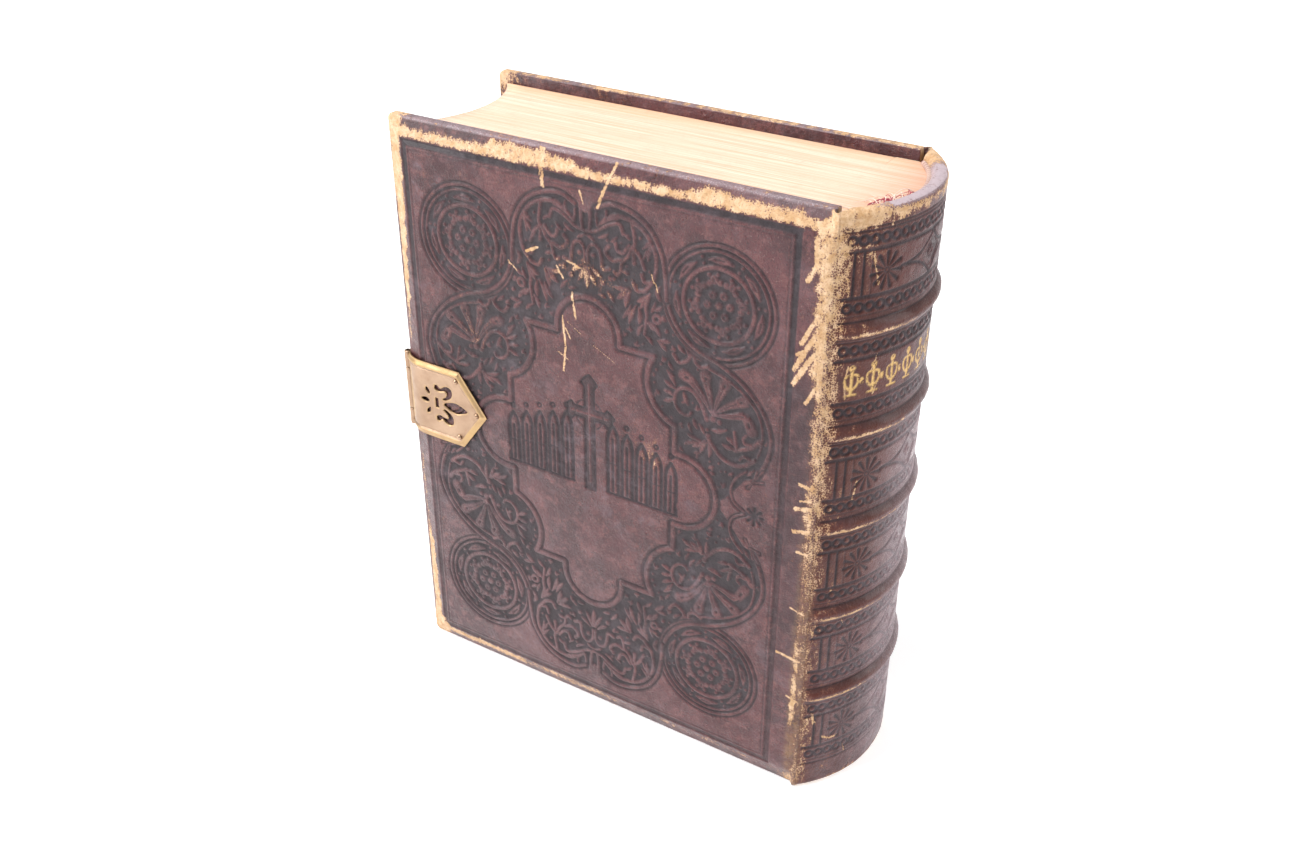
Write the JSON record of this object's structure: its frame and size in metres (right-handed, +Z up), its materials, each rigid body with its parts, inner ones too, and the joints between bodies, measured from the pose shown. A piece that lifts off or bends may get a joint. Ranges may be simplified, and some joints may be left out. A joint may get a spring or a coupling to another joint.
{
  "type": "clasped family bible",
  "caption": "Large upright family Bible in worn brown leather with bevelled stamped boards, raised bands on a rounded spine and a pierced brass clasp at the fore-edge.",
  "frame": {"origin": "on the surface that the book stands on, under the middle of its bounding box", "axes": "+Z up the height of the page, +X from the fore-edge to the spine, +Y from the rear cover to the front cover"},
  "size_m": [0.2822, 0.1104, 0.325],
  "materials": {
    "leather": "satin",
    "lining_paper": "matte",
    "linen": "matte",
    "silk": "satin",
    "board": "matte",
    "endpaper": "matte",
    "leaf_paper": "matte",
    "brass": "satin",
    "nail_brass": "polished",
    "pin_steel": "satin",
    "band_cord": "matte"
  },
  "bodies": {
    "book_block": {"spine_leather": "leather", "spine_hollow": "lining_paper", "spine_lining": "linen", "sewing_tapes": "linen", "head_band": "silk", "tail_band": "silk", "raised_band_1": "band_cord", "raised_band_2": "band_cord", "raised_band_3": "band_cord", "raised_band_4": "band_cord", "raised_band_5": "band_cord", "gathering_01": "leaf_paper", "gathering_02": "leaf_paper", "gathering_03": "leaf_paper", "gathering_04": "leaf_paper", "gathering_05": "leaf_paper", "gathering_06": "leaf_paper", "gathering_07": "leaf_paper", "gathering_08": "leaf_paper", "rear_leaf_folds": "leaf_paper", "front_leaf_folds": "leaf_paper"},
    "rear_cover": {"rear_board": "board", "rear_cover_leather": "leather", "rear_pastedown": "endpaper", "rear_clasp_plate": "brass", "rear_clasp_nails": "nail_brass", "clasp_hinge_pin": "pin_steel"},
    "front_cover": {"front_board": "board", "front_cover_leather": "leather", "front_pastedown": "endpaper", "front_catch_plate": "brass", "front_catch_nails": "nail_brass", "catch_bar": "brass"},
    "clasp_arm": {"clasp_arm": "brass", "clasp_thumb_lip": "brass"},
    "rear_flyleaf": {"rear_flyleaf": "endpaper"},
    "rear_leaves_1": {"rear_leaves_1": "leaf_paper"},
    "rear_leaves_2": {"rear_leaves_2": "leaf_paper"},
    "rear_leaves_3": {"rear_leaves_3": "leaf_paper"},
    "front_flyleaf": {"front_flyleaf": "endpaper"},
    "front_leaves_1": {"front_leaves_1": "leaf_paper"},
    "front_leaves_2": {"front_leaves_2": "leaf_paper"},
    "front_leaves_3": {"front_leaves_3": "leaf_paper"}
  },
  "joints": [
    {"name": "rear_cover_hinge", "type": "hinge", "parent": "book_block", "child": "rear_cover", "pos_m": [0.11385, -0.0525, 0.1625], "axis": [0, 0, 1], "range_deg": [0, 170]},
    {"name": "front_cover_hinge", "type": "hinge", "parent": "book_block", "child": "front_cover", "pos_m": [0.11385, 0.0525, 0.1625], "axis": [0, 0, -1], "range_deg": [0, 170]},
    {"name": "clasp_arm_hinge", "type": "hinge", "parent": "rear_cover", "child": "clasp_arm", "pos_m": [-0.13555, -0.0469, 0.1685], "axis": [0, 0, 1], "range_deg": [0, 160]},
    {"name": "rear_flyleaf_turn", "type": "hinge", "parent": "book_block", "child": "rear_flyleaf", "pos_m": [0.10085, -0.0424, 0.1625], "axis": [0, 0, 1], "range_deg": [0, 85]},
    {"name": "rear_leaves_1_turn", "type": "hinge", "parent": "book_block", "child": "rear_leaves_1", "pos_m": [0.10085, -0.0424, 0.1625], "axis": [0, 0, 1], "range_deg": [0, 68]},
    {"name": "rear_leaves_2_turn", "type": "hinge", "parent": "book_block", "child": "rear_leaves_2", "pos_m": [0.10085, -0.0424, 0.1625], "axis": [0, 0, 1], "range_deg": [0, 49.3]},
    {"name": "rear_leaves_3_turn", "type": "hinge", "parent": "book_block", "child": "rear_leaves_3", "pos_m": [0.10085, -0.0424, 0.1625], "axis": [0, 0, 1], "range_deg": [0, 30.6]},
    {"name": "front_flyleaf_turn", "type": "hinge", "parent": "book_block", "child": "front_flyleaf", "pos_m": [0.10085, 0.0424, 0.1625], "axis": [0, 0, -1], "range_deg": [0, 85]},
    {"name": "front_leaves_1_turn", "type": "hinge", "parent": "book_block", "child": "front_leaves_1", "pos_m": [0.10085, 0.0424, 0.1625], "axis": [0, 0, -1], "range_deg": [0, 68]},
    {"name": "front_leaves_2_turn", "type": "hinge", "parent": "book_block", "child": "front_leaves_2", "pos_m": [0.10085, 0.0424, 0.1625], "axis": [0, 0, -1], "range_deg": [0, 49.3]},
    {"name": "front_leaves_3_turn", "type": "hinge", "parent": "book_block", "child": "front_leaves_3", "pos_m": [0.10085, 0.0424, 0.1625], "axis": [0, 0, -1], "range_deg": [0, 30.6]}
  ],
  "couplings": [
    {"joint": "rear_flyleaf_turn", "follows": "rear_cover_hinge", "ratio": 0.5},
    {"joint": "rear_leaves_1_turn", "follows": "rear_cover_hinge", "ratio": 0.4},
    {"joint": "rear_leaves_2_turn", "follows": "rear_cover_hinge", "ratio": 0.29},
    {"joint": "rear_leaves_3_turn", "follows": "rear_cover_hinge", "ratio": 0.18},
    {"joint": "front_flyleaf_turn", "follows": "front_cover_hinge", "ratio": 0.5},
    {"joint": "front_leaves_1_turn", "follows": "front_cover_hinge", "ratio": 0.4},
    {"joint": "front_leaves_2_turn", "follows": "front_cover_hinge", "ratio": 0.29},
    {"joint": "front_leaves_3_turn", "follows": "front_cover_hinge", "ratio": 0.18}
  ]
}
